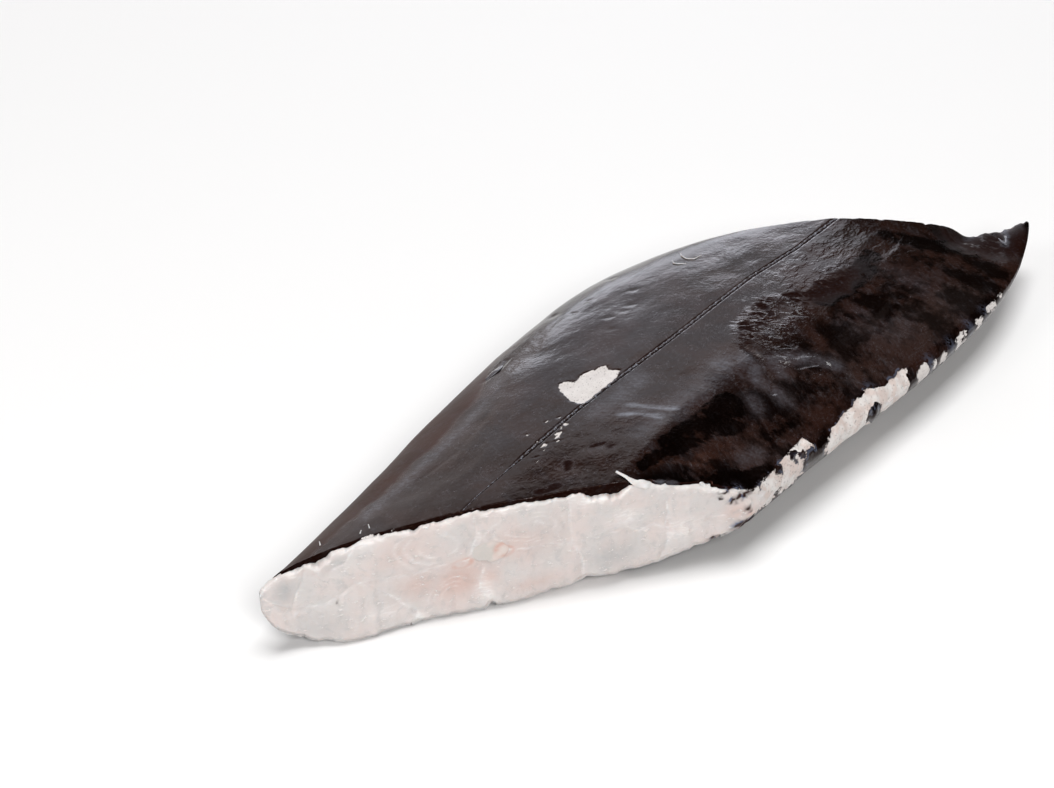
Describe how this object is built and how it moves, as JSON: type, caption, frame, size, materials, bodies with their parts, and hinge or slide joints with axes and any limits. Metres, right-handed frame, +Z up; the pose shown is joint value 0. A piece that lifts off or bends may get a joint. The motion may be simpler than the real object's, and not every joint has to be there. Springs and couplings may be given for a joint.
{
  "type": "black scabbardfish steak",
  "caption": "Raw black scabbardfish steak: a slanting length of the flattened body, lying on its side, with glossy dark skin, white flesh at both cuts and the backbone running through it.",
  "frame": {"origin": "under the middle of the steak's box, on the surface that it lies on", "axes": "+Y along the fish from the front cut to the back cut, +X across it towards the trimmed fin edge, +Z up"},
  "size_m": [0.0964, 0.2532, 0.0284],
  "materials": {
    "skin": "wet and glossy, brown-black, with worn white patches",
    "flesh": "moist, pale pinkish white, slightly translucent",
    "bone": "moist, greyish white"
  },
  "bodies": {
    "root": {"steak": "skin", "backbone": "bone"}
  },
  "joints": []
}
